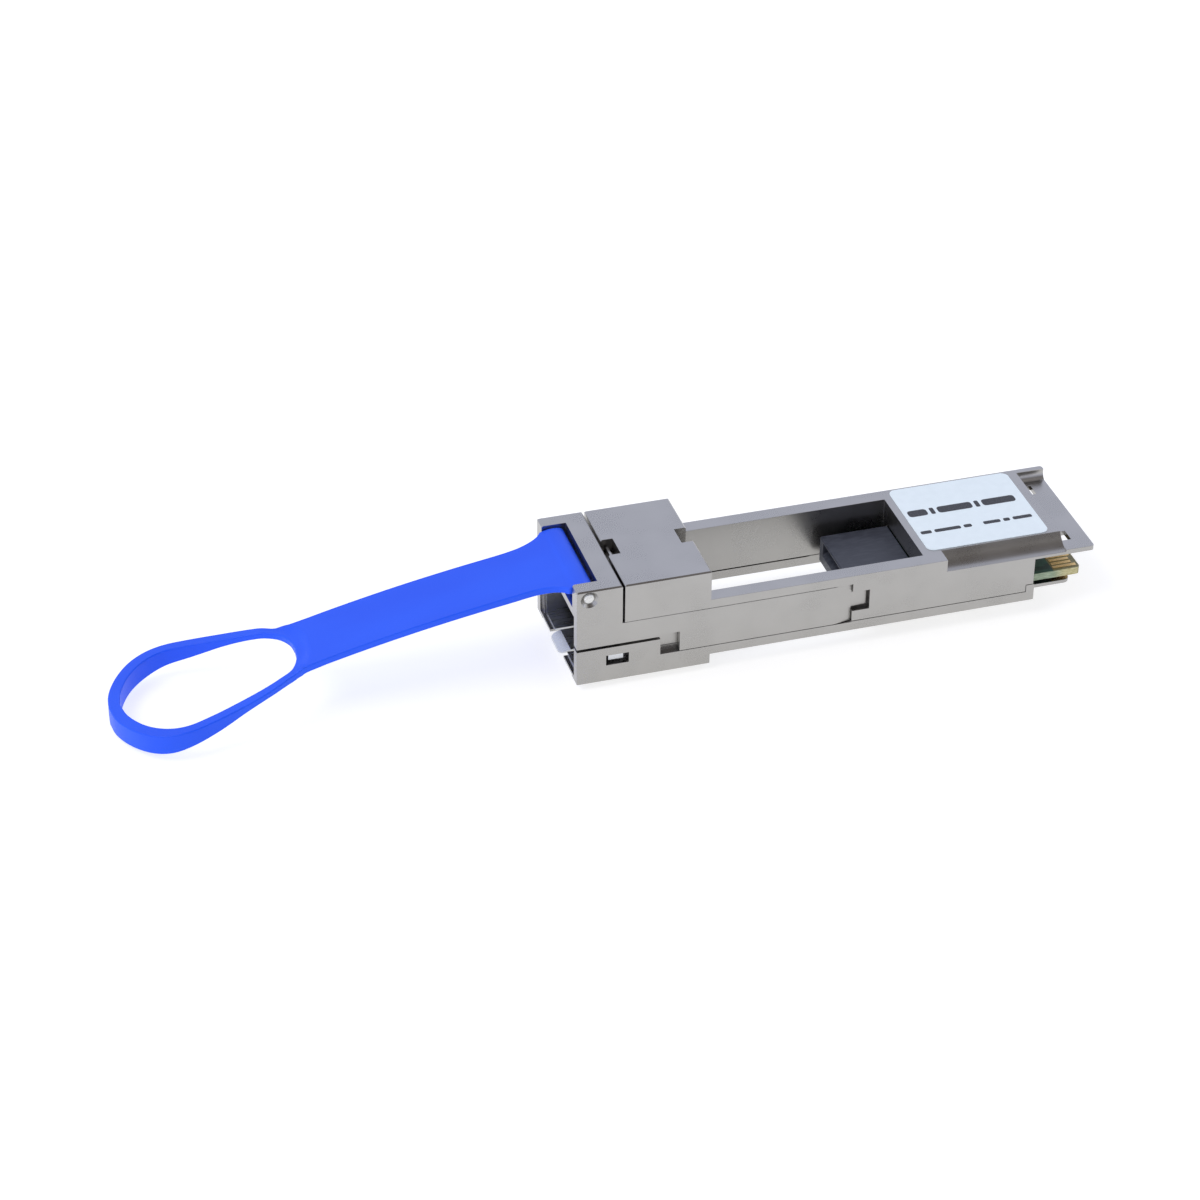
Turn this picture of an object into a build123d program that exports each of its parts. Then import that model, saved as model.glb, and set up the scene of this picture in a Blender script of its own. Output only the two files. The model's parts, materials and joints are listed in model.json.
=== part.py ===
from build123d import *
import os

# QSFP to SFP+ port adapter with a pull tab, in millimetres.
# +X is the insertion direction (towards the card edge), +Z is up, the body is centred on Y = 0.
# X = 0 is the hard stop shoulder behind the front block, Z = 0 is the underside of the plug body.

# ---- driving dimensions -------------------------------------------------------------------
HALF_WIDTH = 9.175          # half of the 18.35 mm module width
DECK_Z = 8.5                # top of the plug body
CROWN_Z = 12.84             # top of the front block
SKIRT_Z = -1.55             # underside of the front block
FRONT_X = -18.0             # front face of the module
REAR_X = 53.5               # rear end of the top plate
CORNER = 0.18               # broken edges of the castings

# small-module port and bay
PORT_HALF = 7.1             # half of the clear width of the port
PORT_TOP = 8.1              # ceiling of the port
FLOOR_TOP = -0.8            # top of the cast floor
BAY_END = 29.9              # rear wall of the bay, where the deck starts

# seams between castings
SEAM_Z = 1.4                # parting plane of the two housings
SEAM_GAP = 0.04             # half of the visible seam
COVER_X = -11.58            # front of the crown of the upper housing

# release slide
SLIDE_REAR = -11.9          # rear face of the yoke
SLIDE_TRAVEL = 2.5          # forward travel when the tab is pulled
PLATE_LOW = 4.05            # lower edge of the yoke's side plates
ARM_INNER = 8.275           # inner face of the side arms
ARM_LOW = 1.35              # lower edge of the side arms
ARM_HIGH = 7.15             # upper edge of the side arms
ARM_END = 19.45             # rear end of the arm at full height
TONGUE_END = 21.6           # tip of the unlatching tongue
TONGUE_LOW, TONGUE_HIGH = 3.4, 5.7
RECESS_Y = 8.2              # floor of the arm recess in the housing
DEEP_RECESS_Y = 7.85        # deeper floor behind the bent end of the arm
BENT_FROM = 16.6            # where the arm's inner face starts to bend
POCKET_REAR = 21.87         # pocket for the cage's latch tab, behind the arm
POCKET_LOW, POCKET_HIGH = 3.0, 5.95
RAISED_X = -6.75            # rear wall of the raised part of the lower shell
ARM_STEP_X = -4.15          # where the arm drops to its full height

# pull tab and its pin
PIN_X, PIN_Z = -16.3, 11.5
PIN_R = 0.72
PIN_BORE_R = 0.77
SLOT_REAR = -14.7           # rear wall of the tab slot
SLOT_FLOOR = 9.4
STRAP_HALF = 4.95           # half of the strap's width
ROOT_HALF = 6.9             # half of the root's width
STRAP_THICK = 1.0
LOOP_END = -76.9            # outer end of the finger loop
LOOP_TIP = -52.7            # strap end of the loop's hole

# circuit board
BOARD_LOW, BOARD_HIGH = 2.1, 3.15
BOARD_HALF = 8.0
BOARD_FRONT, BOARD_REAR = 23.4, 52.3
BOARD_SHOULDER = 31.3       # the board is narrower in front of this
BOARD_NOSE_HALF = 5.4
PAD_PITCH, PAD_WIDTH, PAD_THICK = 0.8, 0.54, 0.04
PAD_COUNT = 19

# screws that hold the two housings together
SCREW_X = (34.6, 41.6)
SCREW_Y = 6.5
SCREW_R = 0.75
SCREW_HEAD_R = 1.35

# port connector
PLUG_FRONT, PLUG_REAR = 20.3, 29.8
PLUG_HALF = 5.5
PLUG_TOP = 5.3
CONTACT_PITCH, CONTACT_WIDTH, CONTACT_THICK = 0.8, 0.32, 0.14
CONTACT_COUNT = 10

ON_PLANE = (Align.CENTER, Align.CENTER, Align.MIN)


def block(low, high, mode=Mode.ADD):
    """Box between two opposite corners, in the part being built."""
    centre = tuple((a + b) / 2 for a, b in zip(low, high))
    size = tuple(b - a for a, b in zip(low, high))
    with Locations(centre):
        Box(*size, mode=mode)


def both_sides(low, high, mode=Mode.ADD):
    """The same box at +Y and at -Y."""
    block(low, high, mode)
    block((low[0], -high[1], low[2]), (high[0], -low[1], high[2]), mode)


def side_profile(points, half, mode=Mode.ADD):
    """Closed outline in the XZ plane, extruded to half either side of the centre plane."""
    with BuildSketch(Plane.XZ) as outline:
        with BuildLine():
            Polyline(*points, close=True)
        make_face()
    extrude(outline.sketch, amount=half, both=True, mode=mode)


def section(points, x_from, x_to, mode=Mode.ADD):
    """Closed outline in the YZ plane, extruded along X."""
    with BuildSketch(Plane.YZ.offset(x_from)) as outline:
        with BuildLine():
            Polyline(*points, close=True)
        make_face()
    extrude(outline.sketch, amount=x_to - x_from, mode=mode)


def both_halves(points):
    """The points of one half outline, then their mirror images back to the start."""
    return points + [(x, -y) for x, y in reversed(points) if y]


def save(part, name):
    """Labels a finished piece and writes its STEP file."""
    part.label = name
    export_step(part, f"parts/{name}.step")


os.makedirs("parts", exist_ok=True)

# ---- upper housing: crown over the port, side rails, deck and rear plate --------------------
CHAMBER_FRONT, CHAMBER_REAR = -10.05, -1.55
CHAMBER_HALF = 5.9
CHAMBER_TOP = 11.34
LID_SEAT_Z = 8.5            # the chamber lid sits between this and the port ceiling
WALL_LOW = 2.0              # lower edge of the inner wall beside the raised lower shell
CAVITY_FRONT, CAVITY_REAR = 31.1, 43.6
CAVITY_HALF = 8.12
CAVITY_TOP = 6.5
ROOF_Z = 6.35               # underside of the rear plate
PLATE_TOP = 7.05
DECK_REAR = 49.5
BODY_REAR = 45.1            # rear end of the housing's side walls
STEP_X = 44.05              # where the parting seam steps up
STEP_Z = 2.5
KEY_FRONT = 32.6            # front end of the concave key along the near edge
KEY_TOP_Y, KEY_SIDE_Z = 6.7, 6.75
FAR_RAIL_Y = 8.35
HOLE_INNER, HOLE_OUTER, HOLE_REAR = 4.8, 6.9, 51.1

with BuildPart() as upper_housing:
    side_profile(
        [
            (COVER_X, WALL_LOW),
            (COVER_X, CROWN_Z),
            (0, CROWN_Z),
            (0, DECK_Z),
            (REAR_X, DECK_Z),
            (REAR_X, ROOF_Z),
            (BODY_REAR, ROOF_Z),
            (BODY_REAR, STEP_Z),
            (STEP_X, STEP_Z),
            (STEP_X, SEAM_Z + SEAM_GAP),
            (ARM_STEP_X, SEAM_Z + SEAM_GAP),
            (ARM_STEP_X, WALL_LOW),
        ],
        HALF_WIDTH,
    )
    # broken edges around the crown
    crown_edges = upper_housing.edges().filter_by(Axis.Y).group_by(Axis.Z)[-1]
    crown_sides = upper_housing.edges().filter_by(Axis.X).group_by(Axis.Z)[-1]
    chamfer(crown_edges + crown_sides, CORNER)
    # recess for the arms, deeper behind their bent ends, and the pocket for the cage's latch tab
    recess_rear, recess_top = ARM_END + 0.05, ARM_HIGH + 0.05
    both_sides((COVER_X - 1, RECESS_Y, 1.0), (recess_rear, HALF_WIDTH + 1, recess_top), Mode.SUBTRACT)
    deep_front = BENT_FROM - SLIDE_TRAVEL
    both_sides((deep_front, DEEP_RECESS_Y, 1.0), (recess_rear, RECESS_Y + 0.1, recess_top), Mode.SUBTRACT)
    pocket_end = (POCKET_REAR, HALF_WIDTH + 1, POCKET_HIGH)
    both_sides((ARM_END, DEEP_RECESS_Y, POCKET_LOW), pocket_end, Mode.SUBTRACT)
    # port under the crown, and the bay open above and below
    block((COVER_X - 1, -PORT_HALF, 0), (BAY_END, PORT_HALF, PORT_TOP), Mode.SUBTRACT)
    block((0, -PORT_HALF, PORT_TOP - 1), (BAY_END, PORT_HALF, DECK_Z + 1), Mode.SUBTRACT)
    # spring chamber in the crown, its lid seat, and the slots in its front and rear walls
    block(
        (CHAMBER_FRONT, -CHAMBER_HALF, PORT_TOP - 1),
        (CHAMBER_REAR, CHAMBER_HALF, CHAMBER_TOP),
        Mode.SUBTRACT,
    )
    block(
        (CHAMBER_FRONT - 0.6, -CHAMBER_HALF - 0.6, PORT_TOP - 1),
        (CHAMBER_REAR + 0.6, CHAMBER_HALF + 0.6, LID_SEAT_Z),
        Mode.SUBTRACT,
    )
    block((COVER_X - 1, -1.8, 9.4), (CHAMBER_FRONT + 0.1, 1.8, CROWN_Z + 1), Mode.SUBTRACT)
    block((CHAMBER_REAR - 0.1, -1.65, 9.4), (1, 1.65, CROWN_Z + 1), Mode.SUBTRACT)
    # cavity over the circuit board, the connector's window and the board's way out
    block((CAVITY_FRONT, -CAVITY_HALF, 0), (CAVITY_REAR, CAVITY_HALF, CAVITY_TOP), Mode.SUBTRACT)
    window_half = PLUG_HALF + 0.1
    window_top = PLUG_TOP + 0.06
    block((BAY_END - 1, -window_half, 0), (CAVITY_FRONT + 1, window_half, window_top), Mode.SUBTRACT)
    block((CAVITY_REAR - 1, -CAVITY_HALF, 0), (REAR_X, CAVITY_HALF, BOARD_HIGH + 0.1), Mode.SUBTRACT)
    # concave key along the near edge of the deck
    with BuildSketch(Plane.YZ.offset(KEY_FRONT)):
        with BuildLine():
            cove = ThreePointArc(
                (-KEY_TOP_Y, DECK_Z), (-7.72, 7.38), (-HALF_WIDTH, KEY_SIDE_Z)
            )
            Polyline(cove @ 1, (-HALF_WIDTH - 1, KEY_SIDE_Z), (-HALF_WIDTH - 1, DECK_Z + 1),
                     (-KEY_TOP_Y, DECK_Z + 1), cove @ 0)
        make_face()
    extrude(amount=DECK_REAR - KEY_FRONT, mode=Mode.SUBTRACT)
    # thin rear plate, with the rail left standing along the far edge
    with BuildSketch(Plane.YZ.offset(DECK_REAR)):
        with BuildLine():
            foot = ThreePointArc(
                (FAR_RAIL_Y, DECK_Z), (FAR_RAIL_Y - 0.13, PLATE_TOP + 0.45), (7.8, PLATE_TOP)
            )
            Polyline(foot @ 1, (-HALF_WIDTH - 1, PLATE_TOP), (-HALF_WIDTH - 1, DECK_Z + 1),
                     (FAR_RAIL_Y, DECK_Z + 1), foot @ 0)
        make_face()
    extrude(amount=REAR_X - DECK_REAR + 1, mode=Mode.SUBTRACT)
    both_sides((DECK_REAR, HOLE_INNER, ROOF_Z - 1), (HOLE_REAR, HOLE_OUTER, PLATE_TOP + 0.05), Mode.SUBTRACT)
    rear_corners = upper_housing.edges().filter_by(Axis.Z).group_by(Axis.X)[-1]
    fillet(rear_corners, 0.4)
    # screw bosses
    with Locations(*[(x, y, BOARD_HIGH) for x in SCREW_X for y in (-SCREW_Y, SCREW_Y)]):
        Cylinder(1.35, CAVITY_TOP - BOARD_HIGH + 0.2, align=ON_PLANE)
        Cylinder(SCREW_R, 3.2, align=ON_PLANE, mode=Mode.SUBTRACT)
save(upper_housing.part, "upper_housing")

# ---- lower shell: floor of the port, lower rails, tray under the board, lip -----------------
RAISED_TOP = 3.65
RAIL_TOP = 1.27
TRAY_FRONT = 22.0
TRAY_FLOOR = 0.8
SHELL_REAR = 45.27
LIP_END, LIP_HALF, LIP_LOW, LIP_HIGH = 50.85, 8.3, 1.18, 1.68
CUTOUT_HALF, CUTOUT_REAR = 3.1, -8.6
WINDOW = ((-14.05, 0.95), (-11.0, 2.45))

with BuildPart() as lower_shell:
    side_profile(
        [
            (FRONT_X, SKIRT_Z),
            (0, SKIRT_Z),
            (0, 0),
            (SHELL_REAR, 0),
            (SHELL_REAR, STEP_Z - 2 * SEAM_GAP),
            (STEP_X + 2 * SEAM_GAP, STEP_Z - 2 * SEAM_GAP),
            (STEP_X + 2 * SEAM_GAP, SEAM_Z - SEAM_GAP),
            (ARM_END, SEAM_Z - SEAM_GAP),
            (ARM_END, RAIL_TOP),
            (RAISED_X, RAIL_TOP),
            (RAISED_X, RAISED_TOP),
            (FRONT_X, RAISED_TOP),
        ],
        HALF_WIDTH,
    )
    skirt_edges = lower_shell.edges().filter_by(Axis.X).group_by(Axis.Z)[0]
    skirt_ends = lower_shell.edges().filter_by(Axis.Y).group_by(Axis.Z)[0].sort_by(Axis.X)[0]
    chamfer(skirt_edges + skirt_ends, CORNER)
    # room for the inner wall of the upper housing
    both_sides(
        (COVER_X - 0.04, PORT_HALF - 0.5, WALL_LOW - 0.06),
        (RAISED_X + 0.5, RECESS_Y + 0.05, RAISED_TOP + 1),
        Mode.SUBTRACT,
    )
    both_sides((RAISED_X - 0.5, PORT_HALF, 0.5), (ARM_STEP_X, RECESS_Y, WALL_LOW - 0.06))
    # port, bay and board tray
    block((FRONT_X - 1, -PORT_HALF, FLOOR_TOP), (1, PORT_HALF, RAISED_TOP + 1), Mode.SUBTRACT)
    block((0, -PORT_HALF, SKIRT_Z - 1), (TRAY_FRONT, PORT_HALF, RAISED_TOP), Mode.SUBTRACT)
    tray_rear = CAVITY_FRONT + 1
    block((TRAY_FRONT - 1, -PORT_HALF, TRAY_FLOOR), (tray_rear, PORT_HALF, RAISED_TOP), Mode.SUBTRACT)
    block((CAVITY_FRONT, -CAVITY_HALF, TRAY_FLOOR), (STEP_X, CAVITY_HALF, RAISED_TOP), Mode.SUBTRACT)
    sill_z = BOARD_LOW - 0.1
    block((STEP_X - 1, -CAVITY_HALF, sill_z), (SHELL_REAR + 1, CAVITY_HALF, RAISED_TOP), Mode.SUBTRACT)
    # ledges that carry the board
    both_sides((CAVITY_FRONT + 0.3, 7.3, TRAY_FLOOR - 0.1), (STEP_X, CAVITY_HALF, BOARD_LOW))
    # thin lip under the board's plug end
    with BuildSketch(Plane.XY.offset(LIP_LOW)):
        with Locations(((SHELL_REAR - 0.5 + LIP_END) / 2, 0)):
            Rectangle(LIP_END - SHELL_REAR + 0.5, 2 * LIP_HALF)
        fillet(vertices().group_by(Axis.X)[-1], 0.9)
    extrude(amount=LIP_HIGH - LIP_LOW)
    # cut-out for the port's latch tongue and relief under the front of the floor
    block((FRONT_X - 1, -CUTOUT_HALF, SKIRT_Z - 1), (CUTOUT_REAR, CUTOUT_HALF, 0), Mode.SUBTRACT)
    block((FRONT_X - 1, -6.9, SKIRT_Z - 1), (-14.5, 6.9, -1.15), Mode.SUBTRACT)
    # windows that hold the liner's side tabs
    (window_x0, window_z0), (window_x1, window_z1) = WINDOW
    both_sides(
        (window_x0, PORT_HALF - 1, window_z0),
        (window_x1, HALF_WIDTH + 1, window_z1),
        Mode.SUBTRACT,
    )
    # lead-in at the mouth of the port
    section(
        [(-PORT_HALF - 0.75, FLOOR_TOP), (PORT_HALF + 0.75, FLOOR_TOP),
         (PORT_HALF + 0.75, RAISED_TOP + 1), (-PORT_HALF - 0.75, RAISED_TOP + 1)],
        FRONT_X - 1, FRONT_X + 0.35, Mode.SUBTRACT,
    )
    # screw columns and countersunk holes
    with Locations(*[(x, y, 0) for x in SCREW_X for y in (-SCREW_Y, SCREW_Y)]):
        Cylinder(1.5, BOARD_LOW, align=ON_PLANE)
        Cylinder(SCREW_R + 0.1, BOARD_LOW, align=ON_PLANE, mode=Mode.SUBTRACT)
        Cone(
            SCREW_HEAD_R + 0.1, SCREW_R, SCREW_HEAD_R - SCREW_R + 0.1,
            align=ON_PLANE, mode=Mode.SUBTRACT,
        )
save(lower_shell.part, "lower_shell")

# ---- release slide: yoke, two side arms, spring crosshead ------------------------------------
HEAD_FRONT, HEAD_REAR = -6.0, -4.6
HEAD_HALF = 5.2
STEM_LOW, STEM_HIGH = 9.7, 11.0

with BuildPart() as release_slide:
    side_profile(
        [
            (FRONT_X, PLATE_LOW),
            (FRONT_X, CROWN_Z),
            (SLIDE_REAR, CROWN_Z),
            (SLIDE_REAR, ARM_HIGH),
            (ARM_END, ARM_HIGH),
            (ARM_END, ARM_LOW),
            (ARM_STEP_X, ARM_LOW),
            (ARM_STEP_X, PLATE_LOW + 0.3),
            (RAISED_X - 0.05, PLATE_LOW + 0.3),
            (RAISED_X - 0.05, PLATE_LOW),
        ],
        HALF_WIDTH,
    )
    yoke_edges = release_slide.edges().filter_by(Axis.Y).group_by(Axis.Z)[-1]
    yoke_sides = release_slide.edges().filter_by(Axis.X).group_by(Axis.Z)[-1]
    chamfer(yoke_edges + yoke_sides, CORNER)
    # port between the side plates, and the space between the arms
    block((FRONT_X - 1, -PORT_HALF, 0), (SLIDE_REAR + 0.1, PORT_HALF, PORT_TOP), Mode.SUBTRACT)
    block((SLIDE_REAR, -ARM_INNER, 0), (ARM_END + 1, ARM_INNER, ARM_HIGH + 1), Mode.SUBTRACT)
    # slot for the tab's root
    block((FRONT_X - 1, -PORT_HALF, SLOT_FLOOR), (SLOT_REAR, PORT_HALF, CROWN_Z + 1), Mode.SUBTRACT)
    # lead-in at the mouth of the port
    section(
        [(-PORT_HALF - 0.75, 0), (PORT_HALF + 0.75, 0), (PORT_HALF + 0.75, PORT_TOP + 0.3),
         (-PORT_HALF - 0.75, PORT_TOP + 0.3)],
        FRONT_X - 1, FRONT_X + 0.35, Mode.SUBTRACT,
    )
    # arm ends: the outer face bends inwards, and a narrow tongue carries on into the latch pocket
    for side in (-1, 1):
        with BuildSketch(Plane.XY.offset(ARM_LOW - 1)):
            with BuildLine():
                Polyline(
                    (17.0, side * HALF_WIDTH),
                    (ARM_END + 1, side * (HALF_WIDTH - 0.6)),
                    (ARM_END + 1, side * (HALF_WIDTH + 1)),
                    (17.0, side * (HALF_WIDTH + 1)),
                    close=True,
                )
            make_face()
        extrude(amount=ARM_HIGH, mode=Mode.SUBTRACT)
        with BuildSketch(Plane.XY.offset(TONGUE_LOW)):
            with BuildLine():
                Polyline(
                    (16.8, side * ARM_INNER),
                    (18.0, side * (DEEP_RECESS_Y + 0.08)),
                    (TONGUE_END, side * (DEEP_RECESS_Y + 0.08)),
                    (TONGUE_END, side * 8.5),
                    (ARM_END, side * 8.62),
                    (16.8, side * 8.62),
                    close=True,
                )
            make_face()
        extrude(amount=TONGUE_HIGH - TONGUE_LOW)
    # stem and crosshead inside the crown
    block((SLIDE_REAR - 0.5, -1.45, STEM_LOW), (HEAD_REAR, 1.45, STEM_HIGH))
    block((HEAD_FRONT, -HEAD_HALF, 8.75), (HEAD_REAR, HEAD_HALF, 11.1))
    block((-11.0, -1.45, STEM_HIGH - 0.1), (-10.65, 1.45, 11.9))
    # cross hole for the tab's pin, dished at both ends
    with BuildSketch(Plane.XZ.offset(-HALF_WIDTH)):
        with Locations((PIN_X, PIN_Z)):
            Circle(PIN_R)
    extrude(amount=2 * HALF_WIDTH, mode=Mode.SUBTRACT)
    for side in (-1, 1):
        dish = Plane(origin=(PIN_X, side * (HALF_WIDTH + 0.001), PIN_Z), z_dir=(0, -side, 0))
        with Locations(dish):
            Cone(1.2, PIN_R + 0.05, 0.45, align=ON_PLANE, mode=Mode.SUBTRACT)
save(release_slide.part, "release_slide")

# ---- pull tab: root in the slot, strap, finger loop on edge -----------------------------------
LOOP_OUTLINE = [
    (-50.0, STRAP_HALF), (-54.0, 5.5), (-58.0, 7.4), (-62.0, 8.6), (-68.0, 9.85), (-72.2, 8.7),
    (-75.5, 5.1), (LOOP_END, 0),
]
LOOP_HOLE = [
    (LOOP_TIP, 0), (-52.95, 2.0), (-54.0, 4.0), (-55.8, 5.15), (-58.0, 5.95), (-62.0, 7.1),
    (-65.0, 7.85), (-68.0, 8.35), (-70.0, 8.0), (-71.9, 6.9), (-73.5, 5.2), (-74.9, 2.5),
    (LOOP_END + 1.5, 0),
]
STRAP_TOP = [
    (-18.0, 12.28), (-24.0, 11.15), (-30.0, 10.2), (-36.0, 9.15), (-42.0, 7.95), (-48.0, 6.6),
    (-54.0, 5.08), (-58.0, 4.05), (-63.0, 3.0), (-68.0, 2.1), (-73.0, 1.25), (LOOP_END - 0.3, 0.6),
]
LOOP_UNDER = [
    (LOOP_END - 0.3, -2.1), (-71.0, -1.2), (-68.0, -0.3), (-65.0, 0.65), (-63.0, 1.4), (-61.0, 2.2),
    (-58.0, 3.15),
]

with BuildPart() as pull_tab:
    # side view: the strap falls away from the slot, and the loop's band deepens towards its end
    with BuildSketch(Plane.XZ):
        with BuildLine():
            top = Spline(*STRAP_TOP)
            strap_under = [(x, z - STRAP_THICK) for x, z in reversed(STRAP_TOP) if x > -55]
            under = Spline(*LOOP_UNDER, *strap_under)
            Line(top @ 1, under @ 0)
            Polyline(
                under @ 1,
                (-17.2, 10.4),
                (PIN_X, PIN_Z - 1.2),
                (-15.3, 10.6),
                (-14.95, 11.5),
                (-15.2, 12.35),
                (-15.6, 12.52),
                (-17.4, 12.46),
                top @ 0,
            )
        make_face()
    extrude(amount=HALF_WIDTH + 1.5, both=True)
    # plan view: root, concave flares, strap, loop and its hole
    with BuildSketch(mode=Mode.PRIVATE) as plan:
        with BuildLine():
            flare = Spline(
                (-18.3, ROOT_HALF), (-19.95, 5.7), (-23.3, STRAP_HALF),
                tangents=[(-0.35, -1), (-1, 0)],
            )
            Polyline((-14.0, 0), (-14.0, ROOT_HALF), flare @ 0)
            Line(flare @ 1, (-50.0, STRAP_HALF))
            mirror(about=Plane.XZ)
            Spline(*both_halves(LOOP_OUTLINE), tangents=[(-1, 0.05), (1, 0.05)])
        make_face()
        with BuildLine(mode=Mode.PRIVATE) as hole:
            Spline(*both_halves(LOOP_HOLE), periodic=True)
        make_face(hole.edges(), mode=Mode.SUBTRACT)
    extrude(plan.sketch, amount=20, both=True, mode=Mode.INTERSECT)
    with BuildSketch(Plane.XZ.offset(-HALF_WIDTH)):
        with Locations((PIN_X, PIN_Z)):
            Circle(PIN_BORE_R)
    extrude(amount=2 * HALF_WIDTH, mode=Mode.SUBTRACT)
save(pull_tab.part, "pull_tab")

# ---- pin through the yoke and the tab ---------------------------------------------------------
PIN_HALF = HALF_WIDTH - 0.2
with BuildPart() as tab_pin:
    with BuildSketch(Plane.XZ.offset(-PIN_HALF)):
        with Locations((PIN_X, PIN_Z)):
            Circle(PIN_R)
    extrude(amount=2 * PIN_HALF)
    chamfer(tab_pin.edges(), 0.12)
save(tab_pin.part, "tab_pin")

# ---- return springs between the crown's front wall and the crosshead ---------------------------
WIRE_R = 0.16
COIL_R = 1.0
SPRING_Y = 3.3
SPRING_Z = 9.95
spring_front = CHAMBER_FRONT + WIRE_R + 0.02
spring_length = HEAD_FRONT - CHAMBER_FRONT - 2 * (WIRE_R + 0.02)
for name, y in (("return_spring_left", SPRING_Y), ("return_spring_right", -SPRING_Y)):
    with BuildPart() as spring:
        with BuildLine():
            coil = Helix(
                pitch=spring_length / 4, height=spring_length, radius=COIL_R,
                center=(spring_front, y, SPRING_Z), direction=(1, 0, 0),
            )
        with BuildSketch(Plane(origin=coil @ 0, z_dir=coil % 0)):
            Circle(WIRE_R)
        sweep()
    save(spring.part, name)

# ---- lid that closes the spring chamber, and forms the ceiling of the port ---------------------
with BuildPart() as chamber_lid:
    block(
        (CHAMBER_FRONT - 0.55, -CHAMBER_HALF - 0.55, PORT_TOP),
        (CHAMBER_REAR + 0.55, CHAMBER_HALF + 0.55, LID_SEAT_Z - 0.01),
    )
    fillet(chamber_lid.edges().filter_by(Axis.Z), 0.3)
save(chamber_lid.part, "chamber_lid")

# ---- stamped liner of the port, with side tabs, and its latch tongue ---------------------------
SHEET = 0.25
LINER_FRONT, LINER_REAR = -17.4, -2.0
LINER_HALF = PORT_HALF - 0.04
TAB_LOW, TAB_HIGH = 1.35, 2.4   # side tabs, bent out into the windows of the shell
TAB_REACH, TAB_END = 1.55, -11.6
TONGUE_HALF = 2.35
TONGUE_ROOT = -9.0
with BuildPart() as port_liner:
    block((LINER_FRONT, -LINER_HALF, FLOOR_TOP), (LINER_REAR, LINER_HALF, FLOOR_TOP + SHEET))
    both_sides((LINER_FRONT, LINER_HALF - SHEET, FLOOR_TOP), (LINER_REAR, LINER_HALF, 3.0))
    block((LINER_FRONT - 1, -TONGUE_HALF - 0.4, -2), (TONGUE_ROOT, TONGUE_HALF + 0.4, 0), Mode.SUBTRACT)
    for side in (-1, 1):
        with BuildSketch(Plane.XY.offset(TAB_LOW)):
            with BuildLine():
                Polyline(
                    (window_x0 + 0.05, side * (LINER_HALF - SHEET)),
                    (window_x0 + 0.05, side * LINER_HALF),
                    (window_x0 + 0.45, side * (LINER_HALF + TAB_REACH)),
                    (TAB_END, side * (LINER_HALF + TAB_REACH)),
                    (TAB_END, side * (LINER_HALF + TAB_REACH - SHEET)),
                    (window_x0 + 0.65, side * (LINER_HALF + TAB_REACH - SHEET)),
                    (window_x0 + 0.35, side * (LINER_HALF - SHEET)),
                    close=True,
                )
            make_face()
        extrude(amount=TAB_HIGH - TAB_LOW)
save(port_liner.part, "port_liner")

TIP_BEND = -16.8
TIP_X = -18.3
with BuildPart() as latch_tongue:
    with BuildSketch(Plane.XZ):
        with BuildLine():
            Polyline(
                (TONGUE_ROOT - 0.05, FLOOR_TOP + SHEET),
                (TIP_BEND, FLOOR_TOP + SHEET),
                (TIP_X + 0.1, -0.98),
                (TIP_X, -1.2),
                (TIP_BEND - 0.08, FLOOR_TOP),
                (TONGUE_ROOT - 0.05, FLOOR_TOP),
                close=True,
            )
        make_face()
    extrude(amount=TONGUE_HALF, both=True)
    with BuildSketch(Plane.XY.offset(-3), mode=Mode.PRIVATE) as tongue_plan:
        with Locations(((TONGUE_ROOT - 0.05 + TIP_X) / 2, 0)):
            Rectangle(TONGUE_ROOT - 0.05 - TIP_X, 2 * TONGUE_HALF)
        fillet(tongue_plan.vertices().group_by(Axis.X)[0], 1.0)
        with Locations((-14.2, 0)):
            Rectangle(2.0, 2.6, mode=Mode.SUBTRACT)
    extrude(tongue_plan.sketch, amount=4, mode=Mode.INTERSECT)
save(latch_tongue.part, "latch_tongue")

# ---- circuit board and its edge contacts --------------------------------------------------------
with BuildPart() as circuit_board:
    with BuildSketch(Plane.XY.offset(BOARD_LOW)):
        with Locations(((BOARD_SHOULDER + BOARD_REAR) / 2, 0)):
            Rectangle(BOARD_REAR - BOARD_SHOULDER, 2 * BOARD_HALF)
        fillet(vertices().group_by(Axis.X)[-1], 0.5)
        with Locations(((BOARD_FRONT + BOARD_SHOULDER) / 2, 0)):
            Rectangle(BOARD_SHOULDER - BOARD_FRONT, 2 * BOARD_NOSE_HALF)
        with Locations(*[(x, y) for x in SCREW_X for y in (-SCREW_Y, SCREW_Y)]):
            Circle(SCREW_R + 0.15, mode=Mode.SUBTRACT)
    extrude(amount=BOARD_HIGH - BOARD_LOW)
save(circuit_board.part, "circuit_board")

LONG_PAD, SHORT_PAD = 3.3, 2.8
PAD_REAR = BOARD_REAR - 0.35
for name, z in (("upper_edge_contacts", BOARD_HIGH), ("lower_edge_contacts", BOARD_LOW - PAD_THICK)):
    with BuildPart() as pads:
        for i in range(PAD_COUNT):
            y = (i - (PAD_COUNT - 1) / 2) * PAD_PITCH
            length = LONG_PAD if i % 3 == 0 else SHORT_PAD
            rear = PAD_REAR if i % 3 == 0 else PAD_REAR - 0.4
            block((rear - length, y - PAD_WIDTH / 2, z), (rear, y + PAD_WIDTH / 2, z + PAD_THICK))
    save(pads.part, name)

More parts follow.
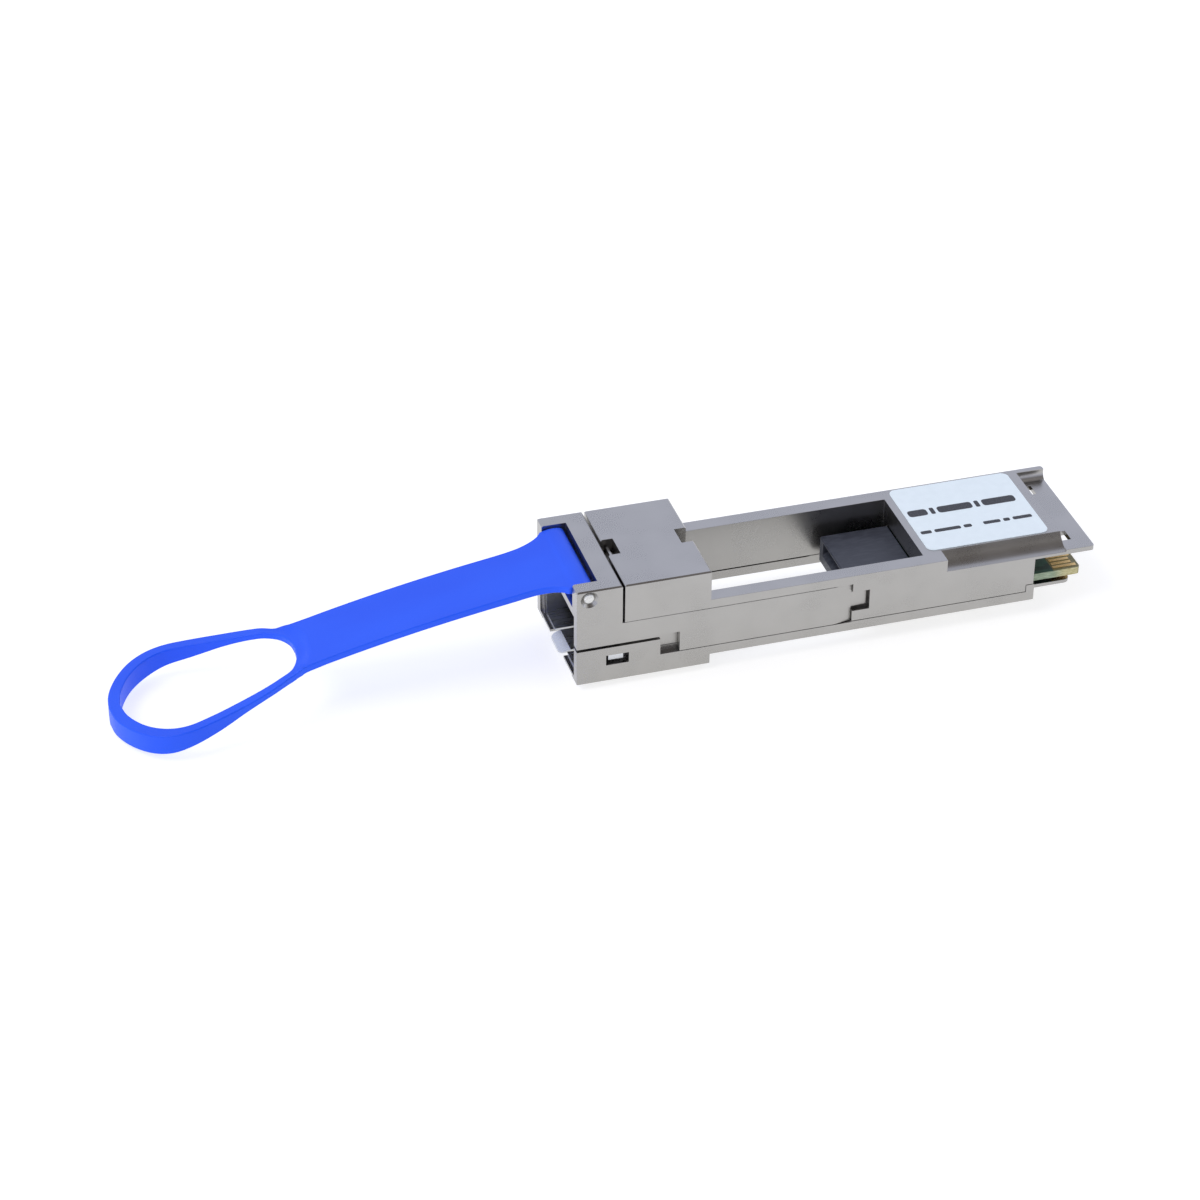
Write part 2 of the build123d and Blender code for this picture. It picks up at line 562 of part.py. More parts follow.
# ---- connector for the small module -------------------------------------------------------------
CARD_LOW, CARD_HIGH = 3.35, 4.75
WEB_FRONT, WEB_REAR = 26.4, 28.0
with BuildPart() as connector_housing:
    side_profile(
        [
            (PLUG_FRONT, 1.6),
            (PLUG_FRONT, PLUG_TOP - 0.15),
            (PLUG_FRONT + 0.15, PLUG_TOP),
            (PLUG_REAR, PLUG_TOP),
            (PLUG_REAR, BOARD_HIGH),
            (BOARD_FRONT - 0.1, BOARD_HIGH),
            (BOARD_FRONT - 0.1, 1.1),
            (PLUG_FRONT + 0.6, 1.1),
        ],
        PLUG_HALF,
    )
    block((PLUG_FRONT - 1, -4.3, CARD_LOW), (WEB_FRONT, 4.3, CARD_HIGH), Mode.SUBTRACT)
    block((WEB_REAR, -4.3, BOARD_HIGH - 1), (PLUG_REAR + 1, 4.3, CARD_HIGH), Mode.SUBTRACT)
    side_profile(
        [
            (PLUG_FRONT - 0.5, CARD_LOW - 0.75),
            (PLUG_FRONT + 0.75, CARD_LOW + 0.1),
            (PLUG_FRONT + 0.75, CARD_HIGH - 0.1),
            (PLUG_FRONT - 0.5, CARD_HIGH + 0.35),
        ],
        4.3,
        Mode.SUBTRACT,
    )
save(connector_housing.part, "connector_housing")


def contact_row(points, offset):
    """Ten bent strips of one row, each the given side outline."""
    for i in range(CONTACT_COUNT):
        y = (i - (CONTACT_COUNT - 1) / 2) * CONTACT_PITCH + offset
        with BuildSketch(Plane.XZ.offset(-y)) as strip:
            with BuildLine():
                Polyline(*points, close=True)
            make_face()
        extrude(strip.sketch, amount=CONTACT_WIDTH / 2, both=True)


with BuildPart() as upper_contacts:
    contact_row(
        [
            (21.5, 4.72), (22.7, 4.52), (24.2, 4.72), (29.3, 4.72), (30.35, 3.32), (31.0, 3.32),
            (31.0, BOARD_HIGH), (30.25, BOARD_HIGH), (29.2, 4.58), (24.2, 4.58), (22.7, 4.38),
            (21.5, 4.58),
        ],
        0.2,
    )
save(upper_contacts.part, "upper_contacts")

with BuildPart() as lower_contacts:
    contact_row(
        [
            (21.5, 3.37), (22.7, 3.57), (24.2, 3.37), (29.9, 3.37), (29.9, BOARD_HIGH),
            (28.1, BOARD_HIGH), (28.1, 3.2), (24.2, 3.2), (22.7, 3.43), (21.5, 3.23),
        ],
        -0.2,
    )
save(lower_contacts.part, "lower_contacts")

# ---- components on the board ----------------------------------------------------------------------
COMPONENT_CENTRE = 38.1
with BuildPart() as control_chip:
    with Locations((COMPONENT_CENTRE, 0, BOARD_HIGH)):
        Box(4, 4, 0.9, align=ON_PLANE)
    chamfer(control_chip.edges().group_by(Axis.Z)[-1], 0.08)
save(control_chip.part, "control_chip")

with BuildPart() as memory_chip:
    with Locations((41.9, 2.9, BOARD_HIGH)):
        Box(2, 3, 0.75, align=ON_PLANE)
    chamfer(memory_chip.edges().group_by(Axis.Z)[-1], 0.08)
save(memory_chip.part, "memory_chip")

with BuildPart() as filter_inductors:
    with Locations(*[(33.6, y, BOARD_HIGH) for y in (-2.6, 2.6)]):
        Box(3.2, 2.5, 1.5, align=ON_PLANE)
    chamfer(filter_inductors.edges().group_by(Axis.Z)[-1], 0.15)
save(filter_inductors.part, "filter_inductors")

with BuildPart() as capacitors:
    with Locations(*[(x, y, BOARD_HIGH) for x in (36.6, 38.1, 39.6) for y in (-3.6, 3.6)]):
        Box(0.5, 1.0, 0.5, align=ON_PLANE)
save(capacitors.part, "capacitors")

with BuildPart() as resistors:
    with Locations(*[(42.6, y, BOARD_HIGH) for y in (-3.8, -2.4, -1.0, 0.2)]):
        Box(1.0, 0.5, 0.35, align=ON_PLANE)
save(resistors.part, "resistors")

# ---- screws -----------------------------------------------------------------------------------------
with BuildPart() as housing_screws:
    with Locations(*[(x, y, 0.05) for x in SCREW_X for y in (-SCREW_Y, SCREW_Y)]):
        Cone(SCREW_HEAD_R, SCREW_R, SCREW_HEAD_R - SCREW_R, align=ON_PLANE)
        Cylinder(SCREW_R - 0.02, 5.8, align=ON_PLANE)
        Cylinder(0.45, 0.35, align=ON_PLANE, mode=Mode.SUBTRACT)
save(housing_screws.part, "housing_screws")

# ---- label on the deck --------------------------------------------------------------------------------
LABEL_X = (30.95, 48.1)
LABEL_Y = (-6.45, 8.8)
LABEL_THICK = 0.1
with BuildPart() as rating_label:
    with BuildSketch(Plane.XY.offset(DECK_Z)):
        with Locations(((LABEL_X[0] + LABEL_X[1]) / 2, (LABEL_Y[0] + LABEL_Y[1]) / 2)):
            Rectangle(LABEL_X[1] - LABEL_X[0], LABEL_Y[1] - LABEL_Y[0])
        fillet(vertices(), 1.0)
    extrude(amount=LABEL_THICK)
save(rating_label.part, "rating_label")
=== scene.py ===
import json
import math

import bmesh
import bpy
from mathutils import Matrix, Vector


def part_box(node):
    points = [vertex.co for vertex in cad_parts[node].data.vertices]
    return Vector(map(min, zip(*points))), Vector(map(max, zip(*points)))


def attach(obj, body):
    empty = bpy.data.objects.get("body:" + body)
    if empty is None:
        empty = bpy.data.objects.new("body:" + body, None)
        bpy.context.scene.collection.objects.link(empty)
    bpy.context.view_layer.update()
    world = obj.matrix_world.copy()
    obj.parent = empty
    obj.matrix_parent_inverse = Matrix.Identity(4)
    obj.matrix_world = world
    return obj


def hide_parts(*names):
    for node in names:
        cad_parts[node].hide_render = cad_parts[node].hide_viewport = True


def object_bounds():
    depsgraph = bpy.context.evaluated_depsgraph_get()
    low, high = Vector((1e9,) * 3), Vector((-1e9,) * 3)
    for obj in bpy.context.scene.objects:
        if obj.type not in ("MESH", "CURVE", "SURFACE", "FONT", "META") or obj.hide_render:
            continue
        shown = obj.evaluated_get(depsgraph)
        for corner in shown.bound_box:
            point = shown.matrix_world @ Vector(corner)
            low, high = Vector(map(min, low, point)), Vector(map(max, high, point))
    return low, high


# Port adapter module with a release slide and a moulded pull tab.
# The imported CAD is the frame. This script gives it materials, breaks the edges of its larger
# pieces, and builds the moulded tab and the label's print around it. Lengths are in metres.

MM = 0.001
TINY = 1e-12                                     # stands in for a length of nothing in a division

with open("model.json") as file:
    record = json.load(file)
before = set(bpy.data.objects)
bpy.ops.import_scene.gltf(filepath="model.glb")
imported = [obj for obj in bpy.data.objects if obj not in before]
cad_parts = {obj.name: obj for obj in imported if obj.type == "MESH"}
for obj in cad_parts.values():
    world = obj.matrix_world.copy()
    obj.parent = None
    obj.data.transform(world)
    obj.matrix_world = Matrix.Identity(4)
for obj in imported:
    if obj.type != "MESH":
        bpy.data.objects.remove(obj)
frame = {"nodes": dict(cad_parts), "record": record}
cad_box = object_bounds()
NODES = frame["nodes"]


# ---- small helpers ---------------------------------------------------------------------------

def curve_through(points, steps):
    """Centripetal Catmull-Rom curve through the points, steps to each stretch."""
    ends = [points[0] * 2 - points[1], *points, points[-1] * 2 - points[-2]]
    line = []
    for p0, p1, p2, p3 in zip(ends, ends[1:], ends[2:], ends[3:]):
        t1 = (p1 - p0).length ** 0.5
        t2 = t1 + (p2 - p1).length ** 0.5
        t3 = t2 + (p3 - p2).length ** 0.5
        for i in range(steps):
            t = t1 + (t2 - t1) * i / steps
            a1 = p0 * ((t1 - t) / t1) + p1 * (t / t1)
            a2 = p1 * ((t2 - t) / (t2 - t1)) + p2 * ((t - t1) / (t2 - t1))
            a3 = p2 * ((t3 - t) / (t3 - t2)) + p3 * ((t - t2) / (t3 - t2))
            b1 = a1 * ((t2 - t) / t2) + a2 * (t / t2)
            b2 = a2 * ((t3 - t) / (t3 - t1)) + a3 * ((t - t1) / (t3 - t1))
            line.append(b1 * ((t2 - t) / (t2 - t1)) + b2 * ((t - t1) / (t2 - t1)))
    line.append(points[-1].copy())
    return line


def even(line, count):
    """As many points as count says, at even distances along a line of points."""
    lengths = [0.0]
    for a, b in zip(line, line[1:]):
        lengths.append(lengths[-1] + (b - a).length)
    out = []
    j = 0
    for i in range(count):
        want = lengths[-1] * i / (count - 1)
        while j < len(line) - 2 and lengths[j + 1] < want:
            j += 1
        share = (want - lengths[j]) / max(lengths[j + 1] - lengths[j], TINY)
        out.append(line[j].lerp(line[j + 1], min(1.0, share)))
    return out


def height_on(line, x):
    """Height of a side-view line of (x, z) points, which runs towards -X, at x."""
    for a, b in zip(line, line[1:]):
        if b.x <= x <= a.x:
            share = (a.x - x) / max(a.x - b.x, TINY)
            return a.y + (b.y - a.y) * share
    return line[0].y if x > line[0].x else line[-1].y


def smooth_step(x, low, high):
    """0 below low, 1 above high, and smooth between them."""
    t = min(1.0, max(0.0, (x - low) / (high - low)))
    return t * t * (3 - 2 * t)


def mesh_object(name, bm, material):
    """A smooth-shaded object made from bm."""
    mesh = bpy.data.meshes.new(name)
    bmesh.ops.recalc_face_normals(bm, faces=bm.faces)
    bm.to_mesh(mesh)
    bm.free()
    for polygon in mesh.polygons:
        polygon.use_smooth = True
    made = bpy.data.objects.new(name, mesh)
    bpy.context.scene.collection.objects.link(made)
    mesh.materials.append(material)
    return made


# ---- materials -------------------------------------------------------------------------------

MICRON = 1e-6
# Spans of a noise value: noise seldom leaves the wide one, the narrow one gives more contrast.
WIDE = (0.3, 0.7)
NARROW = (0.35, 0.65)


class Shader:
    """A node material that is built up from object-space noise."""

    def __init__(self, name, metallic, **sockets):
        self.material = bpy.data.materials.new(name)
        self.material.use_nodes = True
        self.nodes = self.material.node_tree.nodes
        self.links = self.material.node_tree.links
        self.bsdf = self.nodes["Principled BSDF"]
        self.bsdf.inputs["Metallic"].default_value = metallic
        for key, value in sockets.items():
            self.bsdf.inputs[key.replace("_", " ")].default_value = value
        self.place = self.nodes.new("ShaderNodeTexCoord").outputs["Object"]

    def noise(self, scale, detail, squeeze=None):
        """Noise with features of about 1 / scale metres, longer along an axis squeezed below 1."""
        source = self.place
        if squeeze:
            mapping = self.nodes.new("ShaderNodeMapping")
            mapping.inputs["Scale"].default_value = squeeze
            self.links.new(self.place, mapping.inputs["Vector"])
            source = mapping.outputs["Vector"]
        node = self.nodes.new("ShaderNodeTexNoise")
        node.inputs["Scale"].default_value = scale
        node.inputs["Detail"].default_value = detail
        self.links.new(source, node.inputs["Vector"])
        return node.outputs["Fac"]

    def remap(self, value, span, to=(0, 1)):
        """Smooth step that takes one span of values to another."""
        node = self.nodes.new("ShaderNodeMapRange")
        node.interpolation_type = "SMOOTHSTEP"
        for key, number in zip(("From Min", "From Max", "To Min", "To Max"), (*span, *to)):
            node.inputs[key].default_value = number
        self.links.new(value, node.inputs["Value"])
        return node.outputs["Result"]

    def math(self, operation, a, b):
        """Sum or product of two node outputs."""
        node = self.nodes.new("ShaderNodeMath")
        node.operation = operation
        self.links.new(a, node.inputs[0])
        self.links.new(b, node.inputs[1])
        return node.outputs[0]

    def mix(self, share, a, b):
        """Mix of two colours, each a tuple or a node's output."""
        node = self.nodes.new("ShaderNodeMix")
        node.data_type = "RGBA"
        self.links.new(share, node.inputs["Factor"])
        for key, value in (("A", a), ("B", b)):
            socket = [s for s in node.inputs if s.name == key and s.type == "RGBA"][0]
            if isinstance(value, tuple):
                socket.default_value = (*value, 1)
            else:
                self.links.new(value, socket)
        return [s for s in node.outputs if s.type == "RGBA"][0]

    def tones(self, value, span, first, last):
        """Colour that runs from the first to the last tone as the value crosses its span."""
        return self.mix(self.remap(value, span), first, last)

    def part_of(self, axis, low, high, soft=0.01 * MM):
        """1 where the object coordinate lies between low and high, with soft ends."""
        split = self.nodes.new("ShaderNodeSeparateXYZ")
        self.links.new(self.place, split.inputs["Vector"])
        value = split.outputs["XYZ".index(axis)]
        above = self.remap(value, (low - soft, low + soft))
        below = self.remap(value, (high - soft, high + soft), (1, 0))
        return self.math("MULTIPLY", above, below)

    def colour(self, value):
        self.links.new(value, self.bsdf.inputs["Base Color"])

    def roughness(self, value):
        self.links.new(value, self.bsdf.inputs["Roughness"])

    def bump(self, height, strength, distance):
        node = self.nodes.new("ShaderNodeBump")
        node.inputs["Strength"].default_value = strength
        node.inputs["Distance"].default_value = distance
        self.links.new(height, node.inputs["Height"])
        self.links.new(node.outputs["Normal"], self.bsdf.inputs["Normal"])


def nickel():
    """Zinc casting with satin nickel plating: fine grain, faint clouds, a few bright specks."""
    s = Shader("plated_casting", 1.0)
    clouds = s.noise(150, 2)
    grain = s.noise(7000, 2)
    plain = s.tones(clouds, WIDE, (0.385, 0.377, 0.362), (0.42, 0.411, 0.394))
    specks = s.remap(s.noise(3600, 1), (0.74, 0.82), (0, 0.2))
    s.colour(s.mix(specks, plain, (0.5, 0.49, 0.48)))
    satin = s.remap(clouds, WIDE, (0.25, 0.3))
    s.roughness(s.math("ADD", satin, s.remap(grain, WIDE, (0, 0.05))))
    s.bump(grain, 0.07, 2 * MICRON)
    return s.material


def moulded_blue():
    """Satin elastomer: fine moulding texture and slow swings of gloss and tone."""
    s = Shader("blue_elastomer", 0.0, Specular_IOR_Level=0.28)
    flow = s.noise(110, 2, (0.35, 1, 1))
    skin = s.noise(5200, 3)
    s.colour(s.tones(flow, WIDE, (0.012, 0.098, 0.91), (0.018, 0.116, 0.96)))
    satin = s.remap(flow, WIDE, (0.36, 0.44))
    s.roughness(s.math("ADD", satin, s.remap(skin, WIDE, (0, 0.06))))
    s.bump(skin, 0.25, 6 * MICRON)
    return s.material


def turned_steel():
    """Turned and polished steel, with fine marks."""
    s = Shader("polished_steel", 1.0)
    marks = s.noise(2600, 4)
    s.colour(s.tones(marks, NARROW, (0.56, 0.56, 0.55), (0.7, 0.7, 0.69)))
    s.roughness(s.remap(marks, WIDE, (0.16, 0.3)))
    s.bump(marks, 0.3, 4 * MICRON)
    return s.material


def rolled_steel():
    """Rolled strip: grain drawn along its length, its own tone at the port's mouth and painted
    shade inside.
    """
    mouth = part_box("latch_tongue")[0].x
    shade_from, fade = 3.5 * MM, 1.0 * MM         # behind the mouth, where the painted shade begins; and the softness of its ends
    clear_half = 6.9 * MM                        # the painted shade takes in the inner faces of the liner's sides
    shoulder = 0.0                               # the frame's X = 0, behind the liner
    s = Shader("spring_steel", 1.0)
    lines = s.noise(3500, 2, (0.05, 1, 1))
    bright = s.tones(lines, WIDE, (0.6, 0.615, 0.64), (0.66, 0.675, 0.7))
    # painted shade: a darker copy of the steel's tone for the port's shadowed inside
    painted_shade_tone = s.tones(lines, WIDE, (0.24, 0.24, 0.235), (0.3, 0.3, 0.295))
    # where the painted shade lies: inside the port, from behind its mouth back to the shoulder
    painted_shade_mask = s.math(
        "MULTIPLY",
        s.part_of("Y", -clear_half, clear_half),
        s.part_of("X", mouth + shade_from, shoulder, fade),
    )
    s.colour(s.mix(painted_shade_mask, bright, painted_shade_tone))
    s.roughness(s.remap(lines, WIDE, (0.26, 0.34)))
    s.bump(lines, 0.12, 2 * MICRON)
    return s.material


def solder_mask(board):
    """Green mask over tracks. Laminate is bare round the edge contacts and on the cut edges."""
    low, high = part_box(board)
    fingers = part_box("upper_edge_contacts")[0].x
    opening = 0.15 * MM                          # the mask stops this far before the contacts
    cut = 0.04 * MM                              # depth of the cut edge's look
    yellow_length, yellow_fade = 3.0 * MM, 1.2 * MM
    s = Shader("board_green", 0.0, Specular_IOR_Level=0.6)
    tracks = s.remap(s.noise(900, 1, (0.18, 1, 0.2)), (0.5, 0.52))
    mask = s.mix(tracks, (0.006, 0.05, 0.034), (0.016, 0.095, 0.06))
    bare = s.tones(s.noise(2500, 2), WIDE, (0.2, 0.17, 0.045), (0.3, 0.26, 0.09))
    top = s.mix(s.part_of("X", fingers - opening, high.x + MM), mask, bare)
    plies = s.remap(s.noise(5200, 2, (0.3, 0.3, 3.0)), (0.4, 0.6))
    near_end = s.part_of("X", high.x - yellow_length, high.x + MM, yellow_fade)
    glass = s.mix(
        near_end,
        s.mix(plies, (0.2, 0.28, 0.17), (0.36, 0.44, 0.3)),
        s.mix(plies, (0.4, 0.35, 0.14), (0.6, 0.55, 0.3)),
    )
    off_edge = s.math(
        "MULTIPLY",
        s.part_of("Y", low.y + cut, high.y - cut),
        s.part_of("X", low.x + cut, high.x - cut),
    )
    s.colour(s.mix(off_edge, glass, top))
    s.roughness(s.remap(s.noise(1500, 3), WIDE, (0.28, 0.42)))
    s.bump(tracks, 0.3, 20 * MICRON)
    return s.material


def gold():
    """Gold plating over nickel, with contact marks."""
    s = Shader("gold_contact", 1.0)
    wear = s.noise(1800, 4, (0.2, 1, 1))
    s.colour(s.tones(wear, NARROW, (0.66, 0.45, 0.18), (0.8, 0.58, 0.28)))
    s.roughness(s.remap(wear, WIDE, (0.18, 0.34)))
    s.bump(wear, 0.2, 2 * MICRON)
    return s.material


def moulded_black():
    """Glass-filled polymer: near black with a cool cast and short fibre flecks."""
    s = Shader("black_plastic", 0.0, Specular_IOR_Level=0.5)
    fibre = s.noise(2400, 3, (0.25, 1, 1))
    s.colour(s.tones(fibre, (0.4, 0.66), (0.028, 0.032, 0.046), (0.05, 0.055, 0.072)))
    s.roughness(s.remap(fibre, WIDE, (0.38, 0.55)))
    s.bump(fibre, 0.4, 8 * MICRON)
    return s.material


def ferrite():
    """Sintered dark ceramic."""
    s = Shader("dark_ferrite", 0.0)
    pores = s.noise(4200, 4)
    s.colour(s.tones(pores, NARROW, (0.035, 0.035, 0.037), (0.085, 0.085, 0.085)))
    s.roughness(s.remap(pores, WIDE, (0.5, 0.7)))
    s.bump(pores, 0.5, 10 * MICRON)
    return s.material


def ceramic():
    """Tan capacitor body."""
    s = Shader("ceramic_tan", 0.0)
    speckle = s.noise(6000, 3)
    s.colour(s.tones(speckle, NARROW, (0.34, 0.23, 0.13), (0.47, 0.34, 0.21)))
    s.roughness(s.remap(speckle, WIDE, (0.34, 0.48)))
    s.bump(speckle, 0.3, 5 * MICRON)
    return s.material


def label_film():
    """White printed film with a soft coat and the faintest fibre tone."""
    s = Shader("label_white", 0.0, Specular_IOR_Level=0.3)
    tone = s.noise(700, 4)
    s.colour(s.tones(tone, WIDE, (0.83, 0.92, 0.94), (0.86, 0.95, 0.97)))
    s.roughness(s.remap(tone, WIDE, (0.36, 0.46)))
    s.bump(s.noise(5200, 2), 0.15, 3 * MICRON)
    return s.material


def print_ink():
    """Thermal-transfer ink: near black, its density uneven."""
    s = Shader("label_ink", 0.0)
    density = s.noise(6500, 3)
    s.colour(s.tones(density, (0.4, 0.75), (0.015, 0.015, 0.018), (0.09, 0.095, 0.11)))
    s.roughness(s.remap(density, WIDE, (0.42, 0.6)))
    return s.material


MATERIALS = {
    "plated_casting": nickel(),
    "blue_elastomer": moulded_blue(),
    "polished_steel": turned_steel(),
    "spring_steel": rolled_steel(),
    "board_green": solder_mask("circuit_board"),
    "gold_contact": gold(),
    "black_plastic": moulded_black(),
    "dark_ferrite": ferrite(),
    "ceramic_tan": ceramic(),
    "label_white": label_film(),
}
for subpart in frame["record"]["subparts"]:
    mesh = NODES[subpart["node"]].data
    mesh.materials.clear()
    mesh.materials.append(MATERIALS[subpart["material_slot"]])


# ---- broken edges on the CAD's metal and plastic pieces --------------------------------------

BROKEN_EDGES = {
    "upper_housing": 0.09 * MM,
    "lower_shell": 0.09 * MM,
    "release_slide": 0.09 * MM,
    "connector_housing": 0.06 * MM,
    "tab_pin": 0.08 * MM,
}
SAME_POINT = 1e-7                                # vertices closer than this are one
SAME_PLANE = math.radians(1)
SHARP = math.radians(40)


def break_edges(node, width):
    """Rounds a CAD piece's sharp edges by modifiers, so its vertices and faces stay as imported.

    Its imported normals are dropped, since the weighted normals take their place.
    """
    piece = NODES[node]
    normals = piece.data.attributes.get("custom_normal")
    if normals:
        piece.data.attributes.remove(normals)
    weld = piece.modifiers.new("weld", "WELD")
    weld.merge_threshold = SAME_POINT
    flat = piece.modifiers.new("flat", "DECIMATE")
    flat.decimate_type = "DISSOLVE"
    flat.angle_limit = SAME_PLANE
    bevel = piece.modifiers.new("edge", "BEVEL")
    bevel.width = width
    bevel.segments = 2
    bevel.limit_method = "ANGLE"
    bevel.angle_limit = SHARP
    bevel.use_clamp_overlap = True
    weighted = piece.modifiers.new("shade", "WEIGHTED_NORMAL")
    weighted.keep_sharp = False
    weighted.weight = 100


for node, width in BROKEN_EDGES.items():
    break_edges(node, width)


# ---- pull tab: root, strap and finger loop as one moulding -----------------------------------
# Half of the plan is a strip of quads between an inner line and the outline. The inner line runs
# down the middle of the strap and then round the loop's hole. The other half is its mirror image.

TAB_LOW, TAB_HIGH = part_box("pull_tab")
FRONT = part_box("release_slide")[0].x             # front face of the module
LOOP_END = TAB_LOW.x

STRAP_HALF = 4.9 * MM
ROOT_HALF = 6.88 * MM
ROOT_END = TAB_HIGH.x - 0.02 * MM
BAND = 1.5 * MM                                  # plan width of the loop's band
EDGE = 0.36 * MM                                 # rounding of the moulding's edges

# in mm: widest half of the loop, just inside the CAD's, and distances from the loop's end
LOOP_HALF = TAB_HIGH.y / MM - 0.01
NECK = 26.9                                      # where the outline leaves the strap
ROOT = 58.9                                      # where the strap meets the root

# round the tip of the hole the band lies lower than the strap, with a soft step between them
RIM_DROP = 0.32 * MM
RIM_STEP = (1.05 * MM, 1.5 * MM)                 # from the hole's edge: drop still full, drop gone
RIM_FADE = (3.5 * MM, 0.5 * MM)                  # before the hole's tip: no drop yet, drop full
RIM_REACH = 4 * MM                               # no drop further than this behind the tip

STRAP_ROWS, ROOT_ROWS, RING_ROWS = 46, 16, 72    # points along each inner and outer line
ACROSS = 8                                       # quads across half of the strap
PLAN_STEPS, SIDE_STEPS, ROOT_STEPS = 12, 8, 6    # steps of the curves between given points
RIM_STEPS = 4
RING_CUTS = (0, 0.3, 0.42, 0.56, 0.7, 1)         # shares of the band's width

SAME_PLACE = 1e-8                                # plan points closer than this share a vertex
SEAM = 2e-6                                      # vertices closer than this are welded
WALL_TILT = 0.1                                  # a wall's unit normal rises less than this
CORNER = math.radians(50)                        # edges sharper than this are rounded
THIN_SHARE = 0.45                                # rounding stays below this share of the height


def plan(points):
    """Points in the plan, given in mm from the loop's end and from the centre plane."""
    return [Vector((LOOP_END + x * MM, y * MM, 0)) for x, y in points]


def side(points):
    """Side-view points, given in mm from the loop's end and above the module's underside."""
    return [Vector((LOOP_END + x * MM, z * MM, 0)) for x, z in points]


OUTLINE = plan([
    (NECK, STRAP_HALF / MM), (24.6, 5.03), (22.9, 5.5), (20.9, 6.6), (18.9, 7.4), (14.9, 8.6),
    (11.9, 9.35), (8.9, LOOP_HALF), (6.6, 9.6), (4.6, 8.7), (2.9, 7.2), (1.3, 4.9), (0.3, 2.4),
    (0, 0),
])
HOLE = plan([
    (24.2, 0), (23.95, 2.0), (22.9, 4.0), (21.1, 5.15), (18.9, 5.95), (14.9, 7.1), (11.9, 7.85),
    (8.9, 8.35), (6.9, 8.0), (5.0, 6.9), (3.4, 5.2), (2.0, 2.5), (BAND / MM, 0),
])
HOLE_TIP = HOLE[0].x
FLARE = [Vector((FRONT - x * MM, y, 0)) for x, y in (
    (0.3, ROOT_HALF), (1.0, 6.1 * MM), (2.2, 5.45 * MM), (3.8, 5.03 * MM), (5.6, STRAP_HALF),
)]
TOP = curve_through(side([
    (ROOT, 12.28), (52.9, 11.15), (46.9, 10.2), (40.9, 9.15), (34.9, 7.95), (28.9, 6.6),
    (22.9, 5.08), (18.9, 4.05), (13.9, 3.0), (8.9, 2.1), (3.9, 1.25), (-0.3, 0.6),
]), SIDE_STEPS)
UNDER = curve_through(side([
    (ROOT, 11.28), (52.9, 10.15), (46.9, 9.2), (40.9, 8.15), (34.9, 6.95), (28.9, 5.6),
    (22.9, 4.08), (18.9, 3.15), (15.9, 2.2), (13.9, 1.4), (11.9, 0.65), (8.9, -0.3),
    (5.9, -1.2), (-0.3, -2.1),
]), SIDE_STEPS)
ROOT_TOP = curve_through(side([
    (61.93, 11.45), (61.8, 11.95), (61.5, 12.3), (61.0, 12.48), (60.3, 12.53), (59.5, 12.46),
    (ROOT, 12.28),
]), ROOT_STEPS)
ROOT_UNDER = curve_through(side([
    (61.93, 11.4), (61.75, 10.85), (61.3, 10.47), (60.6, 10.32), (59.8, 10.42), (59.3, 10.75),
    (ROOT, 11.28),
]), ROOT_STEPS)
ROOT_X = LOOP_END + ROOT * MM


def top_at(x):
    """Height of the moulding's top, where the root and the strap have a curve each."""
    return height_on(ROOT_TOP if x > ROOT_X else TOP, x)


def under_at(x):
    """Height of the moulding's underside."""
    return height_on(ROOT_UNDER if x > ROOT_X else UNDER, x)


def add_mirror_image(bm):
    """Copies every face to the other side of the centre plane and closes the seam."""
    copied = {}
    for face in list(bm.faces):
        corners = []
        for vertex in reversed(face.verts):
            if abs(vertex.co.y) < SAME_PLACE:
                corners.append(vertex)
                continue
            if vertex not in copied:
                copied[vertex] = bm.verts.new((vertex.co.x, -vertex.co.y, vertex.co.z))
            corners.append(copied[vertex])
        bm.faces.new(corners)
    bmesh.ops.remove_doubles(bm, verts=bm.verts, dist=SEAM)


def mark_rounding(bm):
    """Full rounding on the strap and the loop, less where the root thins out towards its end."""
    bmesh.ops.recalc_face_normals(bm, faces=bm.faces)
    rounding = bm.edges.layers.float.new("bevel_weight_edge")
    for edge in bm.edges:
        beside_wall = any(abs(face.normal.z) < WALL_TILT for face in edge.link_faces)
        if beside_wall and edge.calc_face_angle(0) > CORNER:
            height = min(top_at(v.co.x) - under_at(v.co.x) for v in edge.verts)
            edge[rounding] = min(1.0, THIN_SHARE * height / EDGE)


